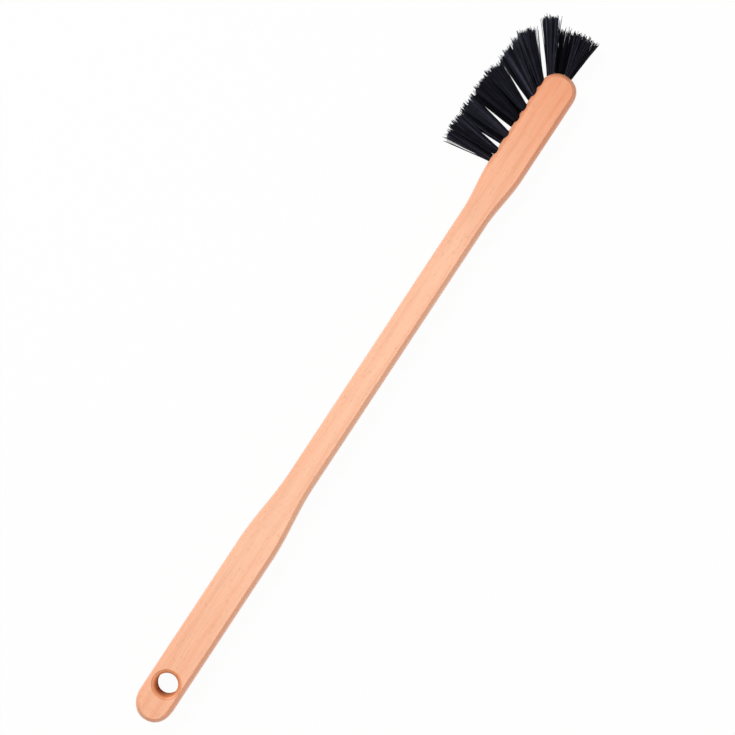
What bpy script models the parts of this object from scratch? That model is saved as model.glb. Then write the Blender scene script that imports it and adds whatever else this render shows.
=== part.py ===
"""Bottle brush: a flat beech handle, drilled for fifteen bristle tufts, each held by a wire anchor.

X runs from the hang hole to the head, Y towards the bristles and Z out of the front face.
The back face lies on Z = 0, and the origin is on it, at the middle of the wood's length.
"""
import math
from collections import namedtuple

import bmesh
import bpy
from mathutils import Matrix, Vector
from mathutils.geometry import interpolate_bezier

# Wooden body, in metres
GRIP_LENGTH = 0.0873
GRIP_FLARE_LENGTH = 0.0356
SHAFT_LENGTH = 0.1369
HEAD_FLARE_LENGTH = 0.0252
HEAD_LENGTH = 0.0480
GRIP_WIDTH = 0.0171
SHAFT_WIDTH_AT_GRIP = 0.0122
SHAFT_WIDTH_AT_HEAD = 0.0124
HEAD_WIDTH = 0.0164
THICKNESS = 0.0140
EDGE_ROUND = 0.0056
GRIP_END_REACH = 0.0097

# Hang hole
HANG_BORE_DIAMETER = 0.0101
HANG_HOLE_SETBACK = 0.0182
HANG_LIP_ROUND = 0.0016
HANG_LIP_STEP = 0.0003

# Tuft holes in the head
TUFT_HOLE_DIAMETER = 0.0036
TUFT_HOLE_DEPTH = 0.0065
TUFT_ROW_INSET = 0.0030
TUFT_FIELD_HEEL = 0.0002
ROW_SPLAY_DEGREES = 4.0

# Wire anchors
ANCHOR_THICKNESS = 0.0004
ANCHOR_HEIGHT = 0.0016
ANCHOR_BITE = 0.0002
ANCHOR_EDGE = 0.00006

# Bristles
BRISTLE_LENGTH = 0.0212
BRISTLE_ROOT_RADIUS = 0.00015
BRISTLE_TIP_RADIUS = 0.00014
BRISTLE_ROOT_SINK = 0.0004
TUFT_PROUD = 0.0005
FOLD_HEIGHT = 0.0009
ROW_PARTING = 0.0006

# Clearances
FIT_GAP = 0.0003
FACE_MARGIN = 0.0005
CUT_OVERRUN = 0.0020
WELD_DISTANCE = 0.00001

# How many flat sides stand for a round
END_STEPS = 14
FLARE_STEPS = 9
EDGE_STEPS = 3
LIP_STEPS = 4
HANG_BORE_SIDES = 40
TUFT_HOLE_SIDES = 16
BRISTLE_SIDES = 3

# Shares of a flare's length that its two ends keep before they bend
WIDE_END_SHARE = 0.36
NARROW_END_SHARE = 0.33

# Angle at which a long edge's round starts from the faces, with a crisp arris there
ARRIS_DEGREES = 40.0

# Golden angle, which spreads the bristles evenly over a tuft
GOLDEN_ANGLE = math.pi * (3.0 - math.sqrt(5.0))
GOLDEN_STEP = (math.sqrt(5.0) - 1.0) / 2.0
RAGGED_SHARE = 0.10

# Share of a tuft's circle that its bristles' own circles fill, which sets how many there are,
# and how far inside the bound bundle's edge the outer ones stand, in bristle radii
PACKING_SHARE = 0.46
ROOT_MARGIN_SHARE = 1.6

# Tufts of the front row: place along the field, drilled angle, fan from its low to its high side,
# and the reach at both sides. Angles are in degrees from the handle's axis towards the bristles.
FRONT_ROW_SHARES = (
    (0.099, 87.5, 91.5, 81.0, 1.02, 1.01),
    (0.311, 85.0, 88.0, 77.4, 1.02, 1.03),
    (0.520, 82.0, 84.0, 73.5, 1.03, 1.04),
    (0.662, 76.0, 76.5, 63.7, 1.04, 1.03),
    (0.861, 67.0, 66.0, 52.5, 1.03, 1.10),
    (0.995, 57.0, 54.0, 44.2, 1.10, 1.06),
)
BACK_ROW_SHARES = (
    (0.025, 89.0, 94.4, 82.0, 1.02, 1.05),
    (0.254, 86.0, 90.5, 79.0, 1.02, 1.03),
    (0.474, 84.0, 84.6, 78.5, 1.02, 1.04),
    (0.615, 79.0, 80.5, 68.0, 1.04, 1.06),
    (0.821, 70.0, 68.1, 57.0, 1.03, 1.07),
    (0.974, 61.0, 58.5, 45.2, 1.09, 1.16),
)

# Tufts round the tip: place on the arc, drilled angle, fan, reaches, how far behind the middle
# of the thickness the hole lies (1 is the back row), and the lowest and highest bristle tip,
# where -1 is the back face and 1 the front face.
TIP_SHARES = (
    (50.5, 30.0, 36.4, 28.0, 1.19, 1.19, 0.0, -0.80, 1.0),
    (24.0, 13.0, 25.5, 7.0, 0.94, 0.90, 1.0, -1.0, 0.25),
    (-4.0, -2.0, 9.0, -5.0, 0.90, 0.90, 0.0, -0.80, 1.0),
)

# Colours from the photograph, in linear light
BEECH_COLOUR = (0.871, 0.514, 0.319, 1.0)
BRISTLE_COLOUR = (0.006, 0.006, 0.009, 1.0)
ANCHOR_COLOUR = (0.610, 0.600, 0.570, 1.0)
BEECH_ROUGHNESS = 0.55
BRISTLE_ROUGHNESS = 0.40
ANCHOR_ROUGHNESS = 0.35

# Places worked out from the sizes above
WOOD_LENGTH = GRIP_LENGTH + GRIP_FLARE_LENGTH + SHAFT_LENGTH + HEAD_FLARE_LENGTH + HEAD_LENGTH
GRIP_END_X = -WOOD_LENGTH / 2
TIP_X = WOOD_LENGTH / 2
HEAD_RADIUS = HEAD_WIDTH / 2
TIP_CENTRE_X = TIP_X - HEAD_RADIUS
TUFT_FIELD_LENGTH = HEAD_LENGTH - HEAD_RADIUS - TUFT_FIELD_HEEL
HANG_HOLE_X = GRIP_END_X + HANG_HOLE_SETBACK
MID_Z = THICKNESS / 2
ROW_OFFSET = MID_Z - TUFT_ROW_INSET
TUFT_HOLE_RADIUS = TUFT_HOLE_DIAMETER / 2
PLUG_RADIUS = TUFT_HOLE_RADIUS - FIT_GAP
ROOT_CIRCLE_RADIUS = PLUG_RADIUS - ROOT_MARGIN_SHARE * BRISTLE_ROOT_RADIUS
BRISTLES_PER_TUFT = int(PACKING_SHARE * (ROOT_CIRCLE_RADIUS / BRISTLE_ROOT_RADIUS) ** 2)
ANCHOR_LENGTH = TUFT_HOLE_DIAMETER + 2 * ANCHOR_BITE
ANCHOR_MID_DEPTH = TUFT_HOLE_DEPTH - FIT_GAP - FOLD_HEIGHT - FIT_GAP - ANCHOR_HEIGHT / 2

Site = namedtuple("Site", "name mouth drilled lean fan_low fan_high reach_low reach_high z_low z_high")


def clear_scene():
    for item in list(bpy.data.objects):
        bpy.data.objects.remove(item, do_unlink=True)


def new_collection(name):
    collection = bpy.data.collections.new(name)
    bpy.context.scene.collection.children.link(collection)
    return collection


def principled(name, colour, roughness, metallic):
    material = bpy.data.materials.new(name)
    material.use_nodes = True
    shader = material.node_tree.nodes["Principled BSDF"]
    shader.inputs["Base Color"].default_value = colour
    shader.inputs["Roughness"].default_value = roughness
    shader.inputs["Metallic"].default_value = metallic
    material.diffuse_color = colour
    return material


def add_object(name, mesh, collection, material=None):
    item = bpy.data.objects.new(name, mesh)
    collection.objects.link(item)
    if material is not None:
        mesh.materials.append(material)
    return item


def as_guide(item):
    item.hide_render = True
    item.display_type = "WIRE"
    return item


def boolean(item, other, operation, name):
    modifier = item.modifiers.new(name, "BOOLEAN")
    modifier.operation = operation
    modifier.object = other
    modifier.solver = "EXACT"


def mesh_of(bm, name):
    mesh = bpy.data.meshes.new(name)
    bm.to_mesh(mesh)
    bm.free()
    return mesh


def shade(mesh, degrees):
    mesh.shade_smooth()
    mesh.set_sharp_from_angle(angle=math.radians(degrees))


# Handle
def end_arc(centre_x, reach, half_width, first, last):
    """Points of an end's quarter, from one angle to another, measured from +X."""
    points = []
    for step in range(END_STEPS + 1):
        angle = math.radians(first + (last - first) * step / END_STEPS)
        points.append((centre_x + reach * math.cos(angle), half_width * math.sin(angle)))
    return points


def flare(start, end, start_share, end_share):
    """A smooth step between two widths, leaving and arriving along the handle."""
    run = end[0] - start[0]
    corners = (
        Vector((start[0], start[1], 0)),
        Vector((start[0] + run * start_share, start[1], 0)),
        Vector((end[0] - run * end_share, end[1], 0)),
        Vector((end[0], end[1], 0)),
    )
    return [(point.x, point.y) for point in interpolate_bezier(*corners, FLARE_STEPS + 1)]


def handle_outline():
    """The wood's outline seen from the front, anticlockwise from the middle of the grip's end."""
    grip_end_x = GRIP_END_X + GRIP_LENGTH
    shaft_start_x = grip_end_x + GRIP_FLARE_LENGTH
    shaft_end_x = shaft_start_x + SHAFT_LENGTH
    head_start_x = shaft_end_x + HEAD_FLARE_LENGTH
    upper = end_arc(GRIP_END_X + GRIP_END_REACH, GRIP_END_REACH, GRIP_WIDTH / 2, 180, 90)
    upper += flare(
        (grip_end_x, GRIP_WIDTH / 2),
        (shaft_start_x, SHAFT_WIDTH_AT_GRIP / 2),
        WIDE_END_SHARE,
        NARROW_END_SHARE,
    )
    upper += flare(
        (shaft_end_x, SHAFT_WIDTH_AT_HEAD / 2),
        (head_start_x, HEAD_RADIUS),
        NARROW_END_SHARE,
        WIDE_END_SHARE,
    )
    upper += end_arc(TIP_CENTRE_X, HEAD_RADIUS, HEAD_RADIUS, 90, 0)
    lower = [(x, -y) for x, y in upper[1:-1]]
    return lower + upper[::-1]


def edge_profile():
    """How far each level of the board's edge stands in from the outline, and its height."""
    first = math.radians(ARRIS_DEGREES)
    half = []
    for step in range(EDGE_STEPS + 1):
        angle = first + (math.pi / 2 - first) * step / EDGE_STEPS
        inset = EDGE_ROUND * (1 - math.sin(angle))
        drop = EDGE_ROUND * (math.cos(first) - math.cos(angle))
        half.append((inset, THICKNESS - drop))
    return half + [(inset, THICKNESS - height) for inset, height in reversed(half)]


def handle_blank(collection, material):
    """The flat board with its outline cut and its long edges rounded over on both faces."""
    outline = [Vector((x, y, 0)) for x, y in handle_outline()]
    count = len(outline)
    outward = []
    for index in range(count):
        along = outline[(index + 1) % count] - outline[index - 1]
        outward.append(Vector((along.y, -along.x, 0)).normalized())
    bm = bmesh.new()
    levels = []
    for inset, height in edge_profile():
        lift = Vector((0, 0, height))
        levels.append([
            bm.verts.new(point - side * inset + lift) for point, side in zip(outline, outward)
        ])
    for upper, lower in zip(levels, levels[1:]):
        for index in range(count):
            bm.faces.new((upper[index - 1], lower[index - 1], lower[index], upper[index]))
    bm.faces.new(levels[0])
    bm.faces.new(levels[-1][::-1])
    bmesh.ops.recalc_face_normals(bm, faces=bm.faces)
    return add_object("handle", mesh_of(bm, "handle"), collection, material)


def hang_hole_cutter(collection):
    """A turned cutter: the bore, its rounded lip, and the small step where the lip meets a face."""
    lip_radius = HANG_BORE_DIAMETER / 2 + HANG_LIP_ROUND
    lip_start = MID_Z - HANG_LIP_STEP - HANG_LIP_ROUND
    upper = [(0, MID_Z + CUT_OVERRUN), (lip_radius, MID_Z + CUT_OVERRUN)]
    for step in range(LIP_STEPS + 1):
        angle = math.pi / 2 * step / LIP_STEPS
        upper.append((
            lip_radius - HANG_LIP_ROUND * math.sin(angle),
            lip_start + HANG_LIP_ROUND * math.cos(angle),
        ))
    profile = upper + [(radius, -height) for radius, height in upper[::-1]]
    bm = bmesh.new()
    corners = [bm.verts.new((radius, 0, height)) for radius, height in profile]
    for first, second in zip(corners, corners[1:]):
        bm.edges.new((first, second))
    cutter = as_guide(add_object("hang_hole_cutter", mesh_of(bm, "hang_hole_cutter"), collection))
    cutter.location = (HANG_HOLE_X, 0, MID_Z)
    screw = cutter.modifiers.new("turned", "SCREW")
    screw.steps = HANG_BORE_SIDES
    screw.render_steps = HANG_BORE_SIDES
    screw.use_merge_vertices = True
    screw.merge_threshold = WELD_DISTANCE
    return cutter


# Tuft sites
def tuft_sites():
    """Every tuft's hole mouth, drilling and fan: two zigzag rows, then three round the tip."""
    reach_z = MID_Z - FACE_MARGIN
    sites = []
    rows = (
        ("front", FRONT_ROW_SHARES, 1, ROW_PARTING / 2, reach_z),
        ("back", BACK_ROW_SHARES, -1, -reach_z, -ROW_PARTING / 2),
    )
    for row, table, side, z_low, z_high in rows:
        for number, (place, drilled, fan_low, fan_high, reach_low, reach_high) in enumerate(table, 1):
            x = TIP_CENTRE_X - TUFT_FIELD_LENGTH * (1 - place)
            sites.append(Site(
                f"{row}_{number}",
                Vector((x, HEAD_RADIUS, MID_Z + side * ROW_OFFSET)),
                drilled,
                side * ROW_SPLAY_DEGREES,
                fan_low,
                fan_high,
                reach_low * BRISTLE_LENGTH,
                reach_high * BRISTLE_LENGTH,
                MID_Z + z_low,
                MID_Z + z_high,
            ))
    for number, values in enumerate(TIP_SHARES, 1):
        place, drilled, fan_low, fan_high, reach_low, reach_high, behind, z_low, z_high = values
        angle = math.radians(place)
        sites.append(Site(
            f"tip_{number}",
            Vector((
                TIP_CENTRE_X + HEAD_RADIUS * math.cos(angle),
                HEAD_RADIUS * math.sin(angle),
                MID_Z - behind * ROW_OFFSET,
            )),
            drilled,
            -behind * ROW_SPLAY_DEGREES,
            fan_low,
            fan_high,
            reach_low * BRISTLE_LENGTH,
            reach_high * BRISTLE_LENGTH,
            MID_Z + z_low * reach_z,
            MID_Z + z_high * reach_z,
        ))
    return sites


def drilling_matrix(site):
    """The hole's frame: Z out of its mouth, X towards the grip, Y towards the front face."""
    turn = math.radians(site.drilled)
    lean = math.radians(site.lean)
    out = Vector((math.cos(turn) * math.cos(lean), math.sin(turn) * math.cos(lean), math.sin(lean)))
    low_side = Vector((-math.sin(turn), math.cos(turn), 0))
    up = out.cross(low_side)
    rotation = Matrix((low_side, up, out)).transposed()
    return Matrix.Translation(site.mouth) @ rotation.to_4x4()


def cylinder(bm, radius, bottom, top):
    """An upright cylinder between two heights."""
    bmesh.ops.create_cone(
        bm,
        cap_ends=True,
        segments=TUFT_HOLE_SIDES,
        radius1=radius,
        radius2=radius,
        depth=top - bottom,
        matrix=Matrix.Translation((0, 0, (top + bottom) / 2)),
    )


def block(bm, size, centre_z):
    """A box centred over the origin at a height."""
    stretch = Matrix.Diagonal((size[0], size[1], size[2], 1))
    bmesh.ops.create_cube(bm, size=1, matrix=Matrix.Translation((0, 0, centre_z)) @ stretch)


def slot_cutter(site, collection, name, length):
    """The room round an anchor, in the wood or through a tuft."""
    bm = bmesh.new()
    room = (ANCHOR_THICKNESS + 2 * FIT_GAP, length, ANCHOR_HEIGHT + 2 * FIT_GAP)
    block(bm, room, -ANCHOR_MID_DEPTH)
    cutter = as_guide(add_object(f"{name}_{site.name}", mesh_of(bm, name), collection))
    cutter.matrix_world = drilling_matrix(site)
    return cutter


def drill_cutter(site, collection):
    """The round blind hole, with the slots that the anchor's ends bite into its wall."""
    bm = bmesh.new()
    cylinder(bm, TUFT_HOLE_RADIUS, -TUFT_HOLE_DEPTH, TUFT_HOLE_RADIUS * 2)
    cutter = as_guide(add_object(f"drill_{site.name}", mesh_of(bm, "drill"), collection))
    cutter.matrix_world = drilling_matrix(site)
    slot = slot_cutter(site, collection, "anchor_slot", ANCHOR_LENGTH + 2 * FIT_GAP)
    boolean(cutter, slot, "UNION", "anchor_slot")
    return cutter


# Tufts
def bristle_ends(site):
    """Root and tip of each bristle, in the hole's frame, spread as a fan that never crosses."""
    frame = drilling_matrix(site)
    back_to_hole = frame.inverted()
    ends = []
    for index in range(BRISTLES_PER_TUFT):
        radius_share = math.sqrt((index + 0.5) / BRISTLES_PER_TUFT)
        across_share = radius_share * math.cos(index * GOLDEN_ANGLE)
        up_share = radius_share * math.sin(index * GOLDEN_ANGLE)
        root = Vector((
            across_share * ROOT_CIRCLE_RADIUS,
            up_share * ROOT_CIRCLE_RADIUS,
            TUFT_PROUD,
        ))
        low_share = (1 + across_share) / 2
        rise_share = (1 + up_share) / 2
        heading = math.radians(site.fan_high + (site.fan_low - site.fan_high) * low_share)
        reach = site.reach_high + (site.reach_low - site.reach_high) * low_share
        reach *= 1 - RAGGED_SHARE * ((index * GOLDEN_STEP) % 1)
        tip = frame @ root
        tip.x += reach * math.cos(heading)
        tip.y += reach * math.sin(heading)
        tip.z = site.z_low + (site.z_high - site.z_low) * rise_share
        ends.append((root, back_to_hole @ tip))
    return ends


def bristles_mesh(site):
    """All the bristles of a tuft, as thin tapered prisms whose roots sink into the bound bundle."""
    bm = bmesh.new()
    for root, tip in bristle_ends(site):
        heading = (tip - root).normalized()
        start = root - heading * BRISTLE_ROOT_SINK
        turn = heading.to_track_quat("Z", "Y").to_matrix().to_4x4()
        bmesh.ops.create_cone(
            bm,
            cap_ends=True,
            segments=BRISTLE_SIDES,
            radius1=BRISTLE_ROOT_RADIUS,
            radius2=BRISTLE_TIP_RADIUS,
            depth=(tip - start).length,
            matrix=Matrix.Translation((start + tip) / 2) @ turn,
        )
    return mesh_of(bm, "bristles")


def add_tuft(site, parts, cutters, material):
    """A bundle folded round its anchor, and the bristles that grow out of it."""
    bm = bmesh.new()
    cylinder(bm, PLUG_RADIUS, FIT_GAP - TUFT_HOLE_DEPTH, TUFT_PROUD)
    tuft = add_object(f"{site.name}_tuft", mesh_of(bm, f"{site.name}_tuft"), parts, material)
    tuft.matrix_world = drilling_matrix(site)
    window = slot_cutter(site, cutters, "fold_window", TUFT_HOLE_DIAMETER + CUT_OVERRUN)
    boolean(tuft, window, "DIFFERENCE", "fold_round_anchor")
    bristles = as_guide(add_object(f"bristles_{site.name}", bristles_mesh(site), cutters, material))
    bristles.matrix_world = drilling_matrix(site)
    boolean(tuft, bristles, "UNION", "bristles")
    return tuft


def add_anchor(site, parts, material):
    """The flat wire driven across the fold, with its two ends in the wall of the hole."""
    bm = bmesh.new()
    block(bm, (ANCHOR_THICKNESS, ANCHOR_LENGTH, ANCHOR_HEIGHT), -ANCHOR_MID_DEPTH)
    anchor = add_object(f"{site.name}_anchor", mesh_of(bm, f"{site.name}_anchor"), parts, material)
    anchor.matrix_world = drilling_matrix(site)
    rounded = anchor.modifiers.new("worn_edges", "BEVEL")
    rounded.width = ANCHOR_EDGE
    rounded.segments = 1
    return anchor


def main():
    clear_scene()
    parts = new_collection("bottle_brush")
    cutters = new_collection("cutters")
    beech = principled("beech", BEECH_COLOUR, BEECH_ROUGHNESS, 0.0)
    bristle = principled("bristle", BRISTLE_COLOUR, BRISTLE_ROUGHNESS, 0.0)
    steel = principled("anchor_wire", ANCHOR_COLOUR, ANCHOR_ROUGHNESS, 1.0)
    handle = handle_blank(parts, beech)
    boolean(handle, hang_hole_cutter(cutters), "DIFFERENCE", "hang_hole")
    for site in tuft_sites():
        boolean(handle, drill_cutter(site, cutters), "DIFFERENCE", f"hole_{site.name}")
        add_tuft(site, parts, cutters, bristle)
        add_anchor(site, parts, steel)
    shade(handle.data, 25)


main()
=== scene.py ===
"""Bottle brush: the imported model, dressed with beech, bristles and wire, on a pale studio floor."""

import math
from collections import namedtuple

import bmesh
import bpy
from bpy.props import FloatProperty, FloatVectorProperty, IntProperty, PointerProperty
from mathutils import Matrix, Vector
from mathutils.geometry import interpolate_bezier


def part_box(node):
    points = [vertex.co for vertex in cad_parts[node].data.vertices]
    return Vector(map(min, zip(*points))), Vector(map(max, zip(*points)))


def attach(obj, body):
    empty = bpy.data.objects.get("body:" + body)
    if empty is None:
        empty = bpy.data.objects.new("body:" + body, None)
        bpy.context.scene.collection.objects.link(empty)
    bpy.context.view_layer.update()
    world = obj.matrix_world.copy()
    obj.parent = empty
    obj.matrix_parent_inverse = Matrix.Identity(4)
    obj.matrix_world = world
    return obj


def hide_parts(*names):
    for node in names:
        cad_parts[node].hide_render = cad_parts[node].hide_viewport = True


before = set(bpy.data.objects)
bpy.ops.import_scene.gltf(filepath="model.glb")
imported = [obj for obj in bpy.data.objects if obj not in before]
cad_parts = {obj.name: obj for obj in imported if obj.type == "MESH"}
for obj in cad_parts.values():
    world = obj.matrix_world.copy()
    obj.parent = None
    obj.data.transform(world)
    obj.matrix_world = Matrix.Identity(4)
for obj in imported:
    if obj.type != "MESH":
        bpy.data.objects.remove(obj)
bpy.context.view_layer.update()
WOOD_LOW, WOOD_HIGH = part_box("handle")

bl_info = {
    "name": "Bottle brush",
    "version": (1, 0, 0),
    "blender": (4, 5, 0),
    "location": "3D View > Sidebar > Bottle brush",
    "description": "Shapes and finishes a beech bottle brush with folded bristle tufts",
    "category": "Object",
}

# Sizes of the wood, in metres, as the CAD part has them
GRIP_LENGTH = 0.0873
GRIP_FLARE_LENGTH = 0.0356
SHAFT_LENGTH = 0.1369
HEAD_FLARE_LENGTH = 0.0252
HEAD_LENGTH = 0.0480
GRIP_WIDTH = 0.0171
SHAFT_WIDTH_AT_GRIP = 0.0122
SHAFT_WIDTH_AT_HEAD = 0.0124
HEAD_WIDTH = 0.0164
GRIP_END_REACH = 0.0097
HANG_HOLE_SETBACK = 0.0182
HANG_LIP_STEP = 0.0003
ARRIS_DEGREES = 40.0
WIDE_END_SHARE = 0.36
NARROW_END_SHARE = 0.33

# Departures of the finished wood from the CAD part, each under half a millimetre
GRIP_END_EXTRA = 0.0004
HANG_HOLE_SHIFT = (-0.0003, -0.00015)
HANG_BORE_DIAMETER = 0.0098
HANG_LIP_ROUND = 0.00175
PLAIN_SIDE_SHARE = 1.025

# How full the corners of the wood's ends are: 2 is an ellipse's, and more is squarer
CIRCLE_FULLNESS = 2.0
PLAIN_GRIP_FULLNESS = 2.3
PLAIN_TIP_FULLNESS = 2.2

# Sizes of the tuft holes and of the anchors in them
TUFT_HOLE_DIAMETER = 0.0036
TUFT_HOLE_DEPTH = 0.0065
TUFT_ROW_INSET = 0.0030
TUFT_FIELD_HEEL = 0.0002
ROW_SPLAY_DEGREES = 4.0
ANCHOR_THICKNESS = 0.0004
ANCHOR_HEIGHT = 0.0016
ANCHOR_BITE = 0.0002
FOLD_HEIGHT = 0.0009
FIT_GAP = 0.0003
ROW_PARTING = 0.0006
FACE_MARGIN = 0.0005

# Help for the cuts and for the shading of the finished wood
CUT_OVERRUN = 0.0020
WELD_DISTANCE = 0.00001
SHARP_EDGE_DEGREES = 37.0

# How finely the wood is drawn
END_STEPS = 44
FLARE_STEPS = 36
EDGE_STEPS = 6
LIP_STEPS = 12
HANG_BORE_SIDES = 96
TUFT_HOLE_SIDES = 36

# Tufts of each row: place along the field, drilled angle, fan from its low to its high side, the
# reach at both sides, how far loose bristles stand away there, and the tuft's tone, paled as painted
# highlight on some tufts and darkened as painted shade on others. Angles are in degrees from the
# handle's axis towards the bristles.
FRONT_ROW_SHARES = (
    (0.099, 87.5, 91.5, 81.0, 1.04, 1.03, 1.0, 1.0, 0.45),
    (0.311, 85.0, 88.0, 77.4, 1.04, 1.05, 1.0, 1.0, 0.40),
    (0.520, 82.0, 84.0, 70.0, 1.05, 1.06, 1.0, 1.0, 0.20),
    (0.662, 76.0, 77.0, 63.7, 1.06, 1.04, 1.0, 1.0, 0.25),
    (0.861, 67.0, 66.0, 51.5, 1.04, 1.11, 1.0, 1.0, 0.60),
    (0.995, 57.0, 54.0, 44.2, 1.12, 1.08, 1.0, 6.0, 0.65),
)
BACK_ROW_SHARES = (
    (0.025, 89.0, 94.4, 82.0, 1.04, 1.07, 6.0, 1.0, 0.50),
    (0.254, 86.0, 90.5, 77.0, 1.03, 1.05, 1.0, 1.0, 0.35),
    (0.474, 84.0, 84.6, 71.0, 1.04, 1.06, 1.0, 1.0, 0.10),
    (0.615, 79.0, 82.0, 64.5, 1.06, 1.07, 1.0, 1.0, 0.10),
    (0.821, 70.0, 68.1, 53.0, 1.05, 1.08, 1.0, 1.0, 0.40),
    (0.974, 61.0, 60.0, 45.2, 1.10, 1.18, 1.0, 7.0, 0.50),
)

# Tufts round the tip: place on the arc, drilled angle, then the fan to the tone and its painted light
# as above, how far behind the middle of the thickness the hole lies, and the lowest and highest
# bristle tip between the two faces.
TIP_SHARES = (
    (50.5, 30.0, 36.4, 29.5, 1.20, 1.20, 4.0, 6.0, 0.60, 0.0, -0.80, 1.0),
    (24.0, 13.0, 34.0, -1.0, 0.96, 0.92, 1.0, 1.0, 0.0, 1.0, -1.0, 0.25),
    (-4.0, -2.0, 20.0, -5.0, 0.92, 0.92, 1.0, 1.0, 0.30, 0.0, -0.80, 1.0),
)

GOLDEN_ANGLE = math.pi * (3.0 - math.sqrt(5.0))

# Places worked out from the sizes above
GRIP_END_X = WOOD_LOW[0]
TIP_X = WOOD_HIGH[0]
THICKNESS = WOOD_HIGH[2]
MID_Z = THICKNESS / 2
HEAD_RADIUS = HEAD_WIDTH / 2
TIP_CENTRE_X = TIP_X - HEAD_RADIUS
TUFT_FIELD_LENGTH = HEAD_LENGTH - HEAD_RADIUS - TUFT_FIELD_HEEL
HANG_HOLE_X = GRIP_END_X + HANG_HOLE_SETBACK + HANG_HOLE_SHIFT[0]
HANG_HOLE_Y = HANG_HOLE_SHIFT[1]
ROW_OFFSET = MID_Z - TUFT_ROW_INSET
TUFT_HOLE_RADIUS = TUFT_HOLE_DIAMETER / 2
ANCHOR_LENGTH = TUFT_HOLE_DIAMETER + 2 * ANCHOR_BITE
ANCHOR_MID_DEPTH = TUFT_HOLE_DEPTH - FIT_GAP - FOLD_HEIGHT - FIT_GAP - ANCHOR_HEIGHT / 2

# Framing of the view: where its middle meets the front face, and its sideways direction
VIEW_CENTRE = (0.0136, 0.0027)
VIEW_RIGHT = (0.550184, -0.835043)
VIEW_WIDTH = 0.3175
SENSOR_WIDTH = 36.0

# A tuft's hole and fan, with angles in degrees, places and reaches in metres, and its tone with
# painted highlight and shade
Site = namedtuple(
    "Site",
    "name mouth drilled lean fan_low fan_high reach_low reach_high loose_low loose_high greyed"
    " z_low z_high",
)


# Settings
class HandleSettings(bpy.types.PropertyGroup):
    """Shape of the wood's edges, and the look of oiled beech"""

    edge_round: FloatProperty(
        name="Edge round",
        description="Radius that the long edges are rounded to",
        default=0.0056,
        min=0.0005,
        max=0.0085,
        unit="LENGTH",
    )
    wood_colour: FloatVectorProperty(
        name="Wood",
        description="Colour of the pale wood between the growth lines",
        subtype="COLOR",
        default=(0.955, 0.524, 0.336),
        min=0.0,
        max=1.0,
    )
    growth_colour: FloatVectorProperty(
        name="Growth lines",
        description="Colour of the darker growth lines",
        subtype="COLOR",
        default=(0.800, 0.312, 0.152),
        min=0.0,
        max=1.0,
    )
    fleck_colour: FloatVectorProperty(
        name="Flecks",
        description="Colour of the short ray flecks and of the end grain",
        subtype="COLOR",
        default=(0.520, 0.220, 0.105),
        min=0.0,
        max=1.0,
    )
    lip_tint: FloatVectorProperty(
        name="Lip tint",
        description="Tint laid over the lip of the hang hole and its bore",
        subtype="COLOR",
        default=(0.82, 0.59, 0.37),
        min=0.0,
        max=1.0,
    )
    # The bore's colour is the wall's own browner end grain; deepened towards the middle of the
    # thickness it is painted shade
    bore_colour: FloatVectorProperty(
        name="Bore",
        description="Colour of the browned wall inside the hang hole",
        subtype="COLOR",
        default=(0.700, 0.320, 0.170),
        min=0.0,
        max=1.0,
    )


class TuftSettings(bpy.types.PropertyGroup):
    """Number, thickness and lie of the bristles"""

    draw: IntProperty(
        name="Draw",
        description="Number that all chance in the bristles is drawn from",
        default=160,
        min=0,
        max=999,
    )
    strands: IntProperty(
        name="Bristles in a tuft",
        description="How many bristle ends stand out of each hole",
        default=200,
        min=20,
        max=300,
    )
    length: FloatProperty(
        name="Bristle length",
        description="Free length of a bristle that the reach shares multiply",
        default=0.0212,
        min=0.0050,
        max=0.0500,
        unit="LENGTH",
    )
    width: FloatProperty(
        name="Bristle width",
        description="Thickness of a bristle at its root",
        default=0.00027,
        min=0.00005,
        max=0.00060,
        unit="LENGTH",
    )
    ragged: FloatProperty(
        name="Ragged ends",
        description="Share of the length by which the ends differ",
        default=0.090,
        min=0.0,
        max=0.5,
        subtype="FACTOR",
    )
    clumping: FloatProperty(
        name="Clumping",
        description="How far the ends lean together in small locks",
        default=0.50,
        min=0.0,
        max=1.0,
        subtype="FACTOR",
    )
    colour: FloatVectorProperty(
        name="Bristle",
        description="Colour of the bristles",
        subtype="COLOR",
        default=(0.0015, 0.0015, 0.0022),
        min=0.0,
        max=1.0,
    )


class StageSettings(bpy.types.PropertyGroup):
    """Floor, lamps and camera"""

    floor_colour: FloatVectorProperty(
        name="Floor",
        description="Colour of the studio floor",
        subtype="COLOR",
        default=(0.80, 0.80, 0.80),
        min=0.0,
        max=1.0,
    )
    key_power: FloatProperty(
        name="Key lamp",
        description="Power of the large lamp on the bristles' side",
        default=16.8,
        min=0.0,
        max=100.0,
        unit="POWER",
    )
    rim_power: FloatProperty(
        name="Rim lamp",
        description="Power of the low lamp on the bristles' side",
        default=3.0,
        min=0.0,
        max=100.0,
        unit="POWER",
    )
    fill_power: FloatProperty(
        name="Fill lamp",
        description="Power of the low lamp on the plain side",
        default=3.8,
        min=0.0,
        max=100.0,
        unit="POWER",
    )
    sky: FloatProperty(
        name="Surround",
        description="Strength of the even light from all round",
        default=0.32,
        min=0.0,
        max=2.0,
        subtype="FACTOR",
    )
    camera_height: FloatProperty(
        name="Camera distance",
        description="From the front face to the camera",
        default=1.066,
        min=0.2,
        max=5.0,
        unit="LENGTH",
    )
    camera_roll: FloatProperty(
        name="Camera roll",
        description="How far the camera stands round the brush, towards its plain side",
        default=math.radians(1.8),
        subtype="ANGLE",
    )


class BrushSettings(bpy.types.PropertyGroup):
    """All settings of the bottle brush"""

    handle: PointerProperty(type=HandleSettings)
    tufts: PointerProperty(type=TuftSettings)
    stage: PointerProperty(type=StageSettings)


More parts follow.
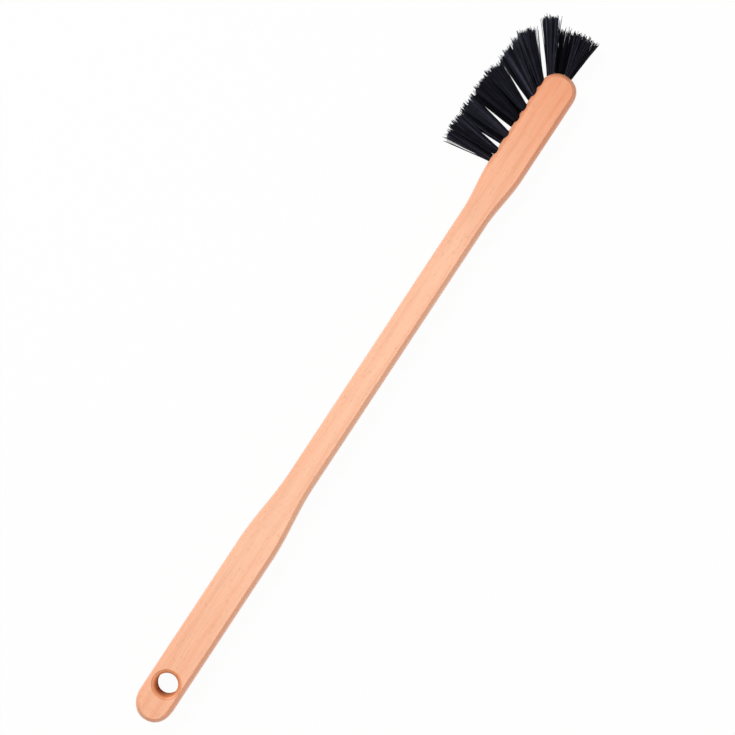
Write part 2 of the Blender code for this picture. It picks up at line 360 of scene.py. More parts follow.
# Node trees
class NodeBuilder:
    """Adds nodes to a tree, with sockets or plain values put into their inputs."""

    def __init__(self, tree):
        self.tree = tree

    def add(self, kind, inputs=None, **settings):
        node = self.tree.nodes.new(kind)
        for name, value in settings.items():
            setattr(node, name, value)
        self.fill(node, inputs or {})
        return node

    def output(self, kind, inputs=None, **settings):
        """The first output of a new node."""
        return self.add(kind, inputs, **settings).outputs[0]

    def fill(self, node, inputs):
        for name, value in inputs.items():
            self.put(node.inputs[name], value)

    def put(self, socket, value):
        if isinstance(value, bpy.types.NodeSocket):
            self.tree.links.new(value, socket)
        else:
            socket.default_value = value

    def math(self, operation, *values, clamp=False):
        inputs = dict(enumerate(values))
        return self.output("ShaderNodeMath", inputs, operation=operation, use_clamp=clamp)

    def vector(self, operation, *values):
        return self.output("ShaderNodeVectorMath", dict(enumerate(values)), operation=operation)

    def scaled(self, vector, scale):
        inputs = {"Vector": vector, "Scale": scale}
        return self.output("ShaderNodeVectorMath", inputs, operation="SCALE")

    def combine(self, x, y, z):
        return self.output("ShaderNodeCombineXYZ", {"X": x, "Y": y, "Z": z})

    def split(self, vector):
        return self.add("ShaderNodeSeparateXYZ", {"Vector": vector}).outputs

    def ramp(self, value, low, high, to_low=0.0, to_high=1.0):
        inputs = {
            "Value": value,
            "From Min": low,
            "From Max": high,
            "To Min": to_low,
            "To Max": to_high,
        }
        return self.add("ShaderNodeMapRange", inputs).outputs["Result"]

    def mix(self, share, first, second):
        inputs = {0: share, 2: first, 3: second}
        return self.add("ShaderNodeMix", inputs, data_type="FLOAT").outputs[0]

    def mix_vector(self, share, first, second):
        inputs = {0: share, 4: first, 5: second}
        return self.add("ShaderNodeMix", inputs, data_type="VECTOR").outputs[1]

    def mix_colour(self, share, first, second, blend="MIX"):
        inputs = {0: share, 6: first, 7: second}
        node = self.add("ShaderNodeMix", inputs, data_type="RGBA", blend_type=blend)
        return node.outputs[2]

    def toned(self, colour, factor):
        """A colour made lighter or darker by a factor."""
        return self.mix_colour(1.0, colour, self.combine(factor, factor, factor), "MULTIPLY")


def opaque(colour):
    return (*colour, 1.0)


def new_group(name, kind, inputs, outputs):
    """A node group with named sockets, and the values that each input starts with."""
    tree = bpy.data.node_groups.new(name, kind)
    for socket_name, socket_type, value in inputs:
        socket = tree.interface.new_socket(socket_name, in_out="INPUT", socket_type=socket_type)
        if value is not None:
            socket.default_value = value
    for socket_name, socket_type in outputs:
        tree.interface.new_socket(socket_name, in_out="OUTPUT", socket_type=socket_type)
    source = tree.nodes.new("NodeGroupInput")
    target = tree.nodes.new("NodeGroupOutput")
    return tree, source, target


def tone_drift_group():
    """Slow and fine changes of tone over a surface, as a factor round 1 and a height."""
    existing = bpy.data.node_groups.get("Tone drift")
    if existing is not None:
        return existing
    tree, source, target = new_group(
        "Tone drift",
        "ShaderNodeTree",
        (
            ("Coordinates", "NodeSocketVector", None),
            ("Cells per metre", "NodeSocketFloat", 60.0),
            ("Strength", "NodeSocketFloat", 0.1),
        ),
        (("Factor", "NodeSocketFloat"), ("Height", "NodeSocketFloat")),
    )
    build = NodeBuilder(tree)
    given = source.outputs
    noise = build.output(
        "ShaderNodeTexNoise",
        {
            "Vector": given["Coordinates"],
            "Scale": given["Cells per metre"],
            "Detail": 4.0,
            "Roughness": 0.6,
        },
    )
    centred = build.math("SUBTRACT", noise, 0.5)
    swing = build.math("MULTIPLY", centred, given["Strength"])
    build.fill(target, {"Factor": build.math("ADD", swing, 1.0), "Height": centred})
    return tree


# Grain of the beech: cells per metre along X, Y and Z, then its growth lines and ray flecks
WANDER_CELLS = (9.0, 40.0, 40.0)
FIBRE_CELLS = (70.0, 2600.0, 2600.0)
FLECK_CELLS_Y = 2600.0
FLECK_CELLS_Z = 900.0
LINE_TILT = 0.55
LINE_WANDER = 0.009
LINE_FADING = 2.2
FLECK_EDGE = (0.42, 0.16)
FLECK_DEPTH = (0.0, 1.0, 0.35, 1.0)
FLECK_RELIEF = -0.6


def beech_grain_group():
    """Growth lines, pores and ray flecks of beech, with the grain along X."""
    tree, source, target = new_group(
        "Beech grain",
        "ShaderNodeTree",
        (
            ("Coordinates", "NodeSocketVector", None),
            ("Line spacing", "NodeSocketFloat", 0.0030),
            ("Fleck length", "NodeSocketFloat", 0.0030),
            ("Fleck share", "NodeSocketFloat", 0.30),
        ),
        (
            ("Growth", "NodeSocketFloat"),
            ("Fibre", "NodeSocketFloat"),
            ("Fleck", "NodeSocketFloat"),
            ("Height", "NodeSocketFloat"),
        ),
    )
    build = NodeBuilder(tree)
    given = source.outputs
    place = given["Coordinates"]

    # Growth lines run along the handle and wander a little
    slow = build.vector("MULTIPLY", place, WANDER_CELLS)
    wander = build.output("ShaderNodeTexNoise", {"Vector": slow, "Scale": 1.0, "Detail": 2.0})
    split = build.split(place)
    across = build.math("MULTIPLY_ADD", split["Z"], LINE_TILT, split["Y"])
    shifted = build.math("MULTIPLY_ADD", wander, LINE_WANDER, across)
    turns = build.math("DIVIDE", shifted, given["Line spacing"])
    growth = build.math("POWER", build.math("PINGPONG", turns, 1.0), LINE_FADING)

    # Fine fibres
    stretched = build.vector("MULTIPLY", place, FIBRE_CELLS)
    fibre = build.output(
        "ShaderNodeTexNoise",
        {"Vector": stretched, "Scale": 1.0, "Detail": 3.0, "Roughness": 0.6},
    )

    # Ray flecks are thin upright sheets: short dashes on the faces, taller patches on the sides
    fleck_cells_x = build.math("DIVIDE", 1.0, given["Fleck length"])
    fleck_cells = build.combine(fleck_cells_x, FLECK_CELLS_Y, FLECK_CELLS_Z)
    cell = build.vector("MULTIPLY", place, fleck_cells)
    rays = build.add("ShaderNodeTexVoronoi", {"Vector": cell, "Scale": 1.0, "Randomness": 1.0})
    near = build.ramp(rays.outputs["Distance"], *FLECK_EDGE)
    draw = build.add("ShaderNodeSeparateColor", {"Color": rays.outputs["Color"]}).outputs
    chosen = build.math("LESS_THAN", draw[0], given["Fleck share"])
    depth = build.ramp(draw[1], *FLECK_DEPTH)
    fleck = build.math("MULTIPLY", build.math("MULTIPLY", near, chosen), depth)

    relief = build.math("MULTIPLY_ADD", fleck, FLECK_RELIEF, fibre)
    build.fill(target, {"Growth": growth, "Fibre": fibre, "Fleck": fleck, "Height": relief})
    return tree


def new_material(name):
    """A material with a Principled shader, its builder and its Object coordinates."""
    material = bpy.data.materials.new(name)
    material.use_nodes = True
    build = NodeBuilder(material.node_tree)
    shader = material.node_tree.nodes["Principled BSDF"]
    place = build.add("ShaderNodeTexCoord").outputs["Object"]
    return material, build, shader, place


def drift(build, place, cells, strength):
    inputs = {"Coordinates": place, "Cells per metre": cells, "Strength": strength}
    node = build.add("ShaderNodeGroup", inputs, node_tree=tone_drift_group())
    return node.outputs["Factor"], node.outputs["Height"]


def add_relief(build, shader, height, strength, distance):
    inputs = {"Height": height, "Strength": strength, "Distance": distance}
    build.put(shader.inputs["Normal"], build.output("ShaderNodeBump", inputs))


# Ramps of the beech: the two limits, then the value at each
HEAD_DEEPENING = (0.074, 0.180, 0.0, 1.0)
GRIP_DEEPENING = (-0.085, GRIP_END_X, 0.0, 0.38)
# Painted shade just past the arris and painted bounce light lower on the narrow sides, by how upright
# the normal stands
ARRIS_PAINTED_SHADE = (0.93, 0.76, 0.0, 0.40)
SIDE_PAINTED_BOUNCE = (0.66, 0.25, 0.0, 0.22)
END_GRAIN = (0.45, 1.0, 0.0, 0.30)
FIBRE_TONE = (0.3, 0.7, 0.91, 1.06)
FIBRE_ROUGHNESS = (0.25, 0.75, 0.46, 0.62)

# Patches of the beech: how they are stretched along the grain, cells per metre and strength
LINE_PATCHES = ((0.12, 1.0, 1.0), 150.0, 2.2)
TONE_PATCHES = ((0.2, 1.0, 1.0), 75.0, 0.16)

# Shares of the beech's growth lines, flecks, lip tint, bore tone with its painted shade, and oil, and
# how rough its bore is
LINE_SHARE = 0.24
FLECK_SHARE = 0.50
LIP_TINT_SHARE = 0.85
BORE_TONE_AND_SHADE = 0.92
BORE_ROUGHNESS = 0.9
OIL_COAT = 0.50
OIL_SHINE = 0.35


def beech_material(settings):
    """Oiled beech: pale pinkish wood with faint lines, short flecks and darker end grain."""
    material, build, shader, place = new_material("oiled beech")
    inputs = {"Coordinates": place}
    grain = build.add("ShaderNodeGroup", inputs, node_tree=beech_grain_group()).outputs
    split = build.split(place)
    facing = build.split(build.add("ShaderNodeTexCoord").outputs["Normal"])

    def patches(stretch, cells, strength):
        return drift(build, build.vector("MULTIPLY", place, stretch), cells, strength)[0]

    # The colour deepens towards the head and a little towards the grip's end; on the narrow sides it
    # is painted shade just past the arris, and painted bounce light pales it lower down
    head_side = build.ramp(split["X"], *HEAD_DEEPENING)
    grip_side = build.ramp(split["X"], *GRIP_DEEPENING)
    upright = build.math("ABSOLUTE", facing["Z"])
    # Painted shade where the surface turns away past the arris, paled again by painted bounce light
    # lower on the side
    painted_arris_shade = build.ramp(upright, *ARRIS_PAINTED_SHADE)
    painted_side_bounce = build.ramp(upright, *SIDE_PAINTED_BOUNCE)
    painted_side_shading = build.math("SUBTRACT", painted_arris_shade, painted_side_bounce)
    deepening_and_painted_shade = build.math("ADD", build.math("MAXIMUM", head_side, grip_side), painted_side_shading)
    line_strength = build.math("MULTIPLY", patches(*LINE_PATCHES), LINE_SHARE)
    line_share = build.math("MULTIPLY", grain["Growth"], line_strength)
    share = build.math("ADD", line_share, deepening_and_painted_shade, clamp=True)
    wood = build.mix_colour(share, opaque(settings.wood_colour), opaque(settings.growth_colour))

    # Fibres and slow patches change its brightness
    fine = build.ramp(grain["Fibre"], *FIBRE_TONE)
    wood = build.toned(wood, build.math("MULTIPLY", patches(*TONE_PATCHES), fine))
    fleck = build.math("MULTIPLY", grain["Fleck"], FLECK_SHARE)
    wood = build.mix_colour(fleck, wood, opaque(settings.fleck_colour))

    # End grain drinks more oil
    end_grain = build.ramp(build.math("ABSOLUTE", facing["X"]), *END_GRAIN)
    wood = build.mix_colour(end_grain, wood, opaque(settings.fleck_colour))

    # The lip of the hang hole and its bore are tinted, and the bore's wall turns to its browner
    # end-grain colour most of all deep inside, where the deepening is painted shade
    from_hole = build.vector("SUBTRACT", place, (HANG_HOLE_X, HANG_HOLE_Y, 0.0))
    flat = build.vector("MULTIPLY", from_hole, (1.0, 1.0, 0.0))
    radius = build.add("ShaderNodeVectorMath", {0: flat}, operation="LENGTH").outputs["Value"]
    bore_radius = HANG_BORE_DIAMETER / 2
    lip_radius = bore_radius + HANG_LIP_ROUND
    lip_limits = (lip_radius + WELD_DISTANCE, lip_radius - WELD_DISTANCE)
    lip = build.ramp(radius, *lip_limits, 0.0, LIP_TINT_SHARE)
    wood = build.mix_colour(lip, wood, opaque(settings.lip_tint), "MULTIPLY")
    inside = build.ramp(radius, bore_radius + HANG_LIP_ROUND / 2, bore_radius)
    from_middle = build.math("ABSOLUTE", build.math("SUBTRACT", split["Z"], MID_Z))
    bore_limits = (MID_Z - HANG_LIP_ROUND / 2, MID_Z / 3)
    # Painted shade: the bore's wall darkens towards the middle of the thickness
    depth = build.ramp(from_middle, *bore_limits, 0.0, BORE_TONE_AND_SHADE)
    browned = build.math("MULTIPLY", inside, depth)
    wood = build.mix_colour(browned, wood, opaque(settings.bore_colour))

    oiled = build.math("SUBTRACT", 1.0, inside)
    worn = build.ramp(grain["Fibre"], *FIBRE_ROUGHNESS)
    build.fill(shader, {
        "Base Color": wood,
        "Roughness": build.mix(inside, worn, BORE_ROUGHNESS),
        "Coat Weight": build.math("MULTIPLY", oiled, OIL_COAT),
        "Coat Roughness": 0.30,
        "Specular IOR Level": build.math("MULTIPLY", oiled, OIL_SHINE),
    })
    add_relief(build, shader, grain["Height"], strength=0.25, distance=0.00006)
    return material


# The palest bristle against the darkest, where the paler strands are painted sheen, what pales it,
# and its roughness from dark to pale
PALEST_TIMES = 74.0
PALE_RARITY = 2.1
END_PALING = 0.06
BRISTLE_ROUGHNESS = (0.0, 1.0, 0.30, 0.50)


def bristle_material(settings):
    """Black bristles: each strand has its own tone, paler where it is painted sheen, and dulls
    towards its end.
    """
    material, build, shader, place = new_material("black bristle")
    strand = build.add("ShaderNodeAttribute", attribute_name="strand_tone").outputs["Fac"]
    along = build.add("ShaderNodeAttribute", attribute_name="strand_place").outputs["Fac"]
    base = Vector(settings.colour)
    # Paler strands are painted sheen on the black bristles
    tone = build.math("POWER", strand, PALE_RARITY)
    share = build.math("MULTIPLY_ADD", along, END_PALING, tone, clamp=True)
    colour = build.mix_colour(share, opaque(base), opaque(base * PALEST_TIMES))
    factor, height = drift(build, place, cells=500.0, strength=1.2)
    build.fill(shader, {
        "Base Color": build.toned(colour, factor),
        "Roughness": build.ramp(strand, *BRISTLE_ROUGHNESS),
        "Specular IOR Level": 0.02,
    })
    add_relief(build, shader, height, strength=0.2, distance=0.00002)
    return material


# Drawing lines of the wire in cells per metre, its grey, its share of blue, and its roughness
WIRE_LINES = (9000.0, 400.0, 9000.0)
WIRE_GREY = 0.60
WIRE_BLUE_SHARE = 0.95
WIRE_ROUGHNESS = (0.8, 1.2, 0.28, 0.44)


def wire_material():
    """Flattened galvanised wire, with fine drawing lines along it."""
    material, build, shader, place = new_material("anchor wire")
    lines = build.vector("MULTIPLY", place, WIRE_LINES)
    factor, height = drift(build, lines, cells=1.0, strength=0.35)
    tone = build.math("MULTIPLY", factor, WIRE_GREY)
    blue = build.math("MULTIPLY", tone, WIRE_BLUE_SHARE)
    build.fill(shader, {
        "Base Color": build.combine(tone, tone, blue),
        "Roughness": build.ramp(factor, *WIRE_ROUGHNESS),
        "Metallic": 1.0,
    })
    add_relief(build, shader, height, strength=0.3, distance=0.00001)
    return material


# Wood
def add_object(name, data):
    item = bpy.data.objects.new(name, data)
    bpy.context.scene.collection.objects.link(item)
    return item


def remove_object(item):
    bpy.data.objects.remove(item, do_unlink=True)


def mesh_of(bm, name):
    mesh = bpy.data.meshes.new(name)
    bm.to_mesh(mesh)
    bm.free()
    return mesh


def plain_mesh(item, name):
    """The mesh that an object's modifiers give, with the object's place in it."""
    bpy.context.view_layer.update()
    evaluated = item.evaluated_get(bpy.context.evaluated_depsgraph_get())
    mesh = bpy.data.meshes.new_from_object(evaluated)
    mesh.transform(item.matrix_world)
    mesh.name = name
    return mesh


def end_arc(centre_x, reach, half_width, first, last, fullness):
    """Points of an end's quarter, from one angle to another, measured from +X."""
    points = []
    for step in range(END_STEPS + 1):
        angle = math.radians(first + (last - first) * step / END_STEPS)
        along = math.cos(angle)
        across = math.sin(angle)
        swell = (abs(along) ** fullness + abs(across) ** fullness) ** (-1 / fullness)
        points.append((centre_x + reach * along * swell, half_width * across * swell))
    return points


def flare(start, end, start_share, end_share):
    """A smooth step between two widths, leaving and arriving along the handle."""
    run = end[0] - start[0]
    corners = (
        Vector((start[0], start[1], 0)),
        Vector((start[0] + run * start_share, start[1], 0)),
        Vector((end[0] - run * end_share, end[1], 0)),
        Vector((end[0], end[1], 0)),
    )
    return [(point.x, point.y) for point in interpolate_bezier(*corners, FLARE_STEPS + 1)]


def side_outline(grip_fullness, tip_fullness):
    """One side of the wood's outline, from the middle of the grip's end to that of the tip."""
    grip_end_x = GRIP_END_X + GRIP_LENGTH
    shaft_start_x = grip_end_x + GRIP_FLARE_LENGTH
    shaft_end_x = shaft_start_x + SHAFT_LENGTH
    head_start_x = shaft_end_x + HEAD_FLARE_LENGTH
    reach = GRIP_END_REACH + GRIP_END_EXTRA
    side = end_arc(GRIP_END_X + GRIP_END_REACH, reach, GRIP_WIDTH / 2, 180, 90, grip_fullness)
    side += flare(
        (grip_end_x, GRIP_WIDTH / 2),
        (shaft_start_x, SHAFT_WIDTH_AT_GRIP / 2),
        WIDE_END_SHARE,
        NARROW_END_SHARE,
    )
    side += flare(
        (shaft_end_x, SHAFT_WIDTH_AT_HEAD / 2),
        (head_start_x, HEAD_RADIUS),
        NARROW_END_SHARE,
        WIDE_END_SHARE,
    )
    return side + end_arc(TIP_CENTRE_X, HEAD_RADIUS, HEAD_RADIUS, 90, 0, tip_fullness)


def handle_outline():
    """The wood's outline seen from the front, anticlockwise from the middle of the grip's end."""
    bristle_side = side_outline(CIRCLE_FULLNESS, CIRCLE_FULLNESS)
    plain_side = side_outline(PLAIN_GRIP_FULLNESS, PLAIN_TIP_FULLNESS)[1:-1]
    return [(x, -y * PLAIN_SIDE_SHARE) for x, y in plain_side] + bristle_side[::-1]


def edge_profile(edge_round):
    """How far each level of the board's edge stands in from the outline, and its height."""
    first = math.radians(ARRIS_DEGREES)
    half = []
    for step in range(EDGE_STEPS + 1):
        angle = first + (math.pi / 2 - first) * step / EDGE_STEPS
        inset = edge_round * (1 - math.sin(angle))
        drop = edge_round * (math.cos(first) - math.cos(angle))
        half.append((inset, THICKNESS - drop))
    return half + [(inset, THICKNESS - height) for inset, height in reversed(half)]


def handle_board(edge_round):
    """The flat board with its outline cut and its long edges rounded over to a crisp arris."""
    outline = [Vector((x, y, 0)) for x, y in handle_outline()]
    count = len(outline)
    outward = []
    for index in range(count):
        along = outline[(index + 1) % count] - outline[index - 1]
        outward.append(Vector((along.y, -along.x, 0)).normalized())
    bm = bmesh.new()
    levels = []
    for inset, height in edge_profile(edge_round):
        lift = Vector((0, 0, height))
        levels.append([
            bm.verts.new(point - side * inset + lift) for point, side in zip(outline, outward)
        ])
    for upper, lower in zip(levels, levels[1:]):
        for index in range(count):
            bm.faces.new((upper[index - 1], lower[index - 1], lower[index], upper[index]))
    bm.faces.new(levels[0])
    bm.faces.new(levels[-1][::-1])
    bmesh.ops.recalc_face_normals(bm, faces=bm.faces)
    return add_object("beech_board", mesh_of(bm, "beech_board"))


def hang_hole_cutter():
    """A turned cutter: the bore, its rounded lip, and the small step where the lip meets a face."""
    bore_radius = HANG_BORE_DIAMETER / 2
    lip_radius = bore_radius + HANG_LIP_ROUND
    lip_start = MID_Z - HANG_LIP_STEP - HANG_LIP_ROUND
    upper = [(0, MID_Z + CUT_OVERRUN), (lip_radius, MID_Z + CUT_OVERRUN)]
    for step in range(LIP_STEPS + 1):
        angle = math.pi / 2 * step / LIP_STEPS
        upper.append((
            lip_radius - HANG_LIP_ROUND * math.sin(angle),
            lip_start + HANG_LIP_ROUND * math.cos(angle),
        ))
    profile = upper + [(radius, -height) for radius, height in upper[::-1]]
    bm = bmesh.new()
    corners = [bm.verts.new((radius, 0, height)) for radius, height in profile]
    for first, second in zip(corners, corners[1:]):
        bm.edges.new((first, second))
    cutter = add_object("hang_hole_cutter", mesh_of(bm, "hang_hole_cutter"))
    cutter.location = (HANG_HOLE_X, HANG_HOLE_Y, MID_Z)
    screw = cutter.modifiers.new("turned", "SCREW")
    screw.steps = HANG_BORE_SIDES
    screw.render_steps = HANG_BORE_SIDES
    screw.use_merge_vertices = True
    screw.merge_threshold = WELD_DISTANCE
    return cutter


def fanned_site(name, mouth, lean, fan, depths, length):
    """A tuft's site from its hole, its drilled angle and fan in the tables, and its end depths."""
    drilled, fan_low, fan_high, reach_low, reach_high, *loose_and_tone = fan
    return Site(
        name,
        mouth,
        drilled,
        lean,
        fan_low,
        fan_high,
        reach_low * length,
        reach_high * length,
        *loose_and_tone,
        *(MID_Z + depth for depth in depths),
    )


def tuft_sites(length):
    """Every tuft's hole mouth, drilling and fan: two zigzag rows, then three round the tip."""
    reach_z = MID_Z - FACE_MARGIN
    sites = []
    rows = (
        ("front", FRONT_ROW_SHARES, 1, (ROW_PARTING / 2, reach_z)),
        ("back", BACK_ROW_SHARES, -1, (-reach_z, -ROW_PARTING / 2)),
    )
    for row, table, side, depths in rows:
        lean = side * ROW_SPLAY_DEGREES
        for number, (place, *fan) in enumerate(table, 1):
            x = TIP_CENTRE_X - TUFT_FIELD_LENGTH * (1 - place)
            mouth = Vector((x, HEAD_RADIUS, MID_Z + side * ROW_OFFSET))
            sites.append(fanned_site(f"{row}_{number}", mouth, lean, fan, depths, length))
    for number, (place, *fan, behind, z_low, z_high) in enumerate(TIP_SHARES, 1):
        angle = math.radians(place)
        mouth = Vector((
            TIP_CENTRE_X + HEAD_RADIUS * math.cos(angle),
            HEAD_RADIUS * math.sin(angle),
            MID_Z - behind * ROW_OFFSET,
        ))
        lean = -behind * ROW_SPLAY_DEGREES
        depths = (z_low * reach_z, z_high * reach_z)
        sites.append(fanned_site(f"tip_{number}", mouth, lean, fan, depths, length))
    return sites


def drilling_matrix(site):
    """The hole's frame: Z out of its mouth, X towards the grip, Y towards the front face."""
    turn = math.radians(site.drilled)
    lean = math.radians(site.lean)
    out = Vector((math.cos(turn) * math.cos(lean), math.sin(turn) * math.cos(lean), math.sin(lean)))
    low_side = Vector((-math.sin(turn), math.cos(turn), 0))
    up = out.cross(low_side)
    rotation = Matrix((low_side, up, out)).transposed()
    return Matrix.Translation(site.mouth) @ rotation.to_4x4()


def drill_cutter(site):
    """The round blind hole, with the slots that the anchor's ends bite into its wall."""
    bm = bmesh.new()
    top = TUFT_HOLE_DIAMETER
    bmesh.ops.create_cone(
        bm,
        cap_ends=True,
        segments=TUFT_HOLE_SIDES,
        radius1=TUFT_HOLE_RADIUS,
        radius2=TUFT_HOLE_RADIUS,
        depth=top + TUFT_HOLE_DEPTH,
        matrix=Matrix.Translation((0, 0, (top - TUFT_HOLE_DEPTH) / 2)),
    )
    drill = add_object(f"drill_{site.name}", mesh_of(bm, "drill"))
    drill.matrix_world = drilling_matrix(site)
    bm = bmesh.new()
    room = (
        ANCHOR_THICKNESS + 2 * FIT_GAP,
        ANCHOR_LENGTH + 2 * FIT_GAP,
        ANCHOR_HEIGHT + 2 * FIT_GAP,
    )
    sunk = Matrix.Translation((0, 0, -ANCHOR_MID_DEPTH))
    bmesh.ops.create_cube(bm, size=1, matrix=sunk @ Matrix.Diagonal((*room, 1)))
    slot = add_object(f"slot_{site.name}", mesh_of(bm, "slot"))
    slot.matrix_world = drilling_matrix(site)
    cut(drill, slot, "UNION")
    return drill, slot


def cut(item, other, operation="DIFFERENCE"):
    modifier = item.modifiers.new(other.name, "BOOLEAN")
    modifier.operation = operation
    modifier.object = other
    modifier.solver = "EXACT"


class BRUSH_OT_handle(bpy.types.Operator):
    """Shape the beech board, drill it and finish it as oiled beech"""

    bl_idname = "bottle_brush.handle"
    bl_label = "Beech handle"

    def execute(self, context):
        settings = context.scene.bottle_brush
        board = handle_board(settings.handle.edge_round)
        tools = [hang_hole_cutter()]
        cut(board, tools[0])
        for site in tuft_sites(settings.tufts.length):
            drill, slot = drill_cutter(site)
            cut(board, drill)
            tools += [drill, slot]
        whole = add_object("drilled_board", plain_mesh(board, "drilled_board"))
        for item in [board] + tools:
            remove_object(item)
        whole.data.shade_smooth()
        whole.data.set_sharp_from_angle(angle=math.radians(SHARP_EDGE_DEGREES))
        weighted = whole.modifiers.new("face_weights", "WEIGHTED_NORMAL")
        weighted.keep_sharp = True
        weighted.weight = 100
        finished = add_object("beech_handle", plain_mesh(whole, "beech_handle"))
        remove_object(whole)
        finished.data.materials.clear()
        finished.data.materials.append(beech_material(settings.handle))
        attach(finished, "root")
        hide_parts("handle")
        return {"FINISHED"}


# Bristles
TUFT_SOCKETS = (
    ("Strands", "NodeSocketInt", 120),
    ("Seed", "NodeSocketInt", 1),
    ("Mouth", "NodeSocketVector", None),
    ("Low side", "NodeSocketVector", None),
    ("Up", "NodeSocketVector", None),
    ("Out", "NodeSocketVector", None),
    ("Root radius", "NodeSocketFloat", 0.0013),
    ("Strand radius", "NodeSocketFloat", 0.0001),
    ("End share", "NodeSocketFloat", 0.70),
    ("Fan low", "NodeSocketFloat", 1.5),
    ("Fan high", "NodeSocketFloat", 1.3),
    ("Loose low", "NodeSocketFloat", 0.0),
    ("Loose high", "NodeSocketFloat", 0.0),
    ("Reach low", "NodeSocketFloat", 0.02),
    ("Reach high", "NodeSocketFloat", 0.02),
    ("Depth low", "NodeSocketFloat", 0.001),
    ("Depth high", "NodeSocketFloat", 0.013),
    ("Ragged", "NodeSocketFloat", 0.11),
    ("Clumping", "NodeSocketFloat", 0.4),
    # The tuft's tone, paled as painted highlight or darkened as painted shade per tuft
    ("Greyed", "NodeSocketFloat", 0.3),
    ("Splay", "NodeSocketFloat", 1.25),
    ("Stiffness", "NodeSocketFloat", 0.10),
    ("Fold depth", "NodeSocketFloat", 0.0062),
    ("Anchor room", "NodeSocketFloat", 0.0004),
    ("Material", "NodeSocketMaterial", None),
)

# A strand's points: three in the hole, one at its mouth and the rest outside
HOLE_STEPS = 3
FREE_STEPS = 6
STRAND_SIDES = 4

# How strands fill the hole, then how far their ends lean together in locks and stray from them
HOLE_PACKING = 0.42
LOCKS_ACROSS = 2.7
LOCK_SEED_STEP = 3.7
LOCK_PULL = (0.55, 1.0)
END_SCATTER = 0.10
BEND_SCATTER = 0.0004
LOOSE_RARITY = 5.0

# The trimmed ends: teeth along the brush, uneven strands and a few long ones, in shares of reach
TOOTH_WIDTH = 0.0015
TOOTH_EDGE = (0.28, 0.72)
UNEVEN_SHARE = 0.80
UNCUT_SHARE = 1.040
STANDING_OUT = (0.80, 1.0, 0.0, 0.09)
LONGEST_SHARE = 1.046

# A strand's tone: how much of it is drawn apart from its lock's, and what the tuft's tone with its
# painted highlight and shade makes of it
OWN_TONE_SHARE = 0.35
TONE_AND_PAINTED_LIGHT = (0.0, 1.0, 0.35, 1.25)

# The fold round the anchor: how close its legs lie, and how soon they part above the bottom
FOLD_PACKING = 0.66
FOLD_PARTING = 1.1


class TuftBuilder(NodeBuilder):
    """Adds what the tufts' tree needs besides: draws, places by the hole and kept values."""

    def __init__(self, tree, given):
        super().__init__(tree)
        self.given = given

    def chance(self, low, high, salt):
        """A number drawn for each strand; the salt sets one draw apart from the others."""
        inputs = {"Seed": self.math("ADD", self.given["Seed"], float(salt)), 2: low, 3: high}
        return self.add("FunctionNodeRandomValue", inputs, data_type="FLOAT").outputs[1]

    def frame_point(self, across, up, out):
        """A place in the hole's frame, in the object's own coordinates."""
        place = self.given["Mouth"]
        for axis, distance in (("Low side", across), ("Up", up), ("Out", out)):
            place = self.vector("ADD", place, self.scaled(self.given[axis], distance))
        return place

    def store(self, geometry, name, kind, value):
        inputs = {"Geometry": geometry, "Name": name, "Value": value}
        node = "GeometryNodeStoreNamedAttribute"
        return self.output(node, inputs, data_type=kind, domain="POINT")

    def read(self, name, kind):
        return self.output("GeometryNodeInputNamedAttribute", {"Name": name}, data_type=kind)


def packed_places(build):
    """Where each strand stands across the hole, as shares of its radius, spread evenly."""
    index = build.output("GeometryNodeInputIndex")
    filled = build.math("DIVIDE", build.math("ADD", index, 0.5), build.given["Strands"])
    spread = build.math("POWER", filled, HOLE_PACKING)
    turn = build.math("MULTIPLY", index, GOLDEN_ANGLE)
    across = build.math("MULTIPLY", spread, build.math("COSINE", turn))
    up = build.math("MULTIPLY", spread, build.math("SINE", turn))
    return across, up


def locked_ends(build, across, up):
    """Where each strand's end leans to, drawn together in locks, and the draw of its lock."""
    given = build.given
    seeded = build.combine(across, up, build.math("MULTIPLY", given["Seed"], LOCK_SEED_STEP))
    inputs = {"Vector": seeded, "Scale": LOCKS_ACROSS}
    locks = build.add("ShaderNodeTexVoronoi", inputs).outputs
    middle = build.split(locks["Position"])
    pull = build.math("MULTIPLY", given["Clumping"], build.chance(*LOCK_PULL, 11))
    end_across = build.mix(pull, across, middle["X"])
    end_up = build.mix(pull, up, middle["Y"])
    end_across = build.math("ADD", end_across, build.chance(-END_SCATTER, END_SCATTER, 12))
    end_up = build.math("ADD", end_up, build.chance(-END_SCATTER, END_SCATTER, 13))
    return end_across, end_up, build.split(locks["Color"])["Y"]


def fanned_heading(build, low_share):
    """Each strand's heading between the sides of the fan, with a few loose ones beyond them."""
    given = build.given
    heading = build.mix(low_share, given["Fan high"], given["Fan low"])
    loose = build.math("POWER", build.chance(0.0, 1.0, 19), LOOSE_RARITY)
    loose_low = build.math("MULTIPLY", build.ramp(low_share, 0.5, 1.0), given["Loose low"])
    loose_high = build.math("MULTIPLY", build.ramp(low_share, 0.5, 0.0), given["Loose high"])
    away = build.math("SUBTRACT", loose_low, loose_high)
    return build.math("MULTIPLY_ADD", away, loose, heading)


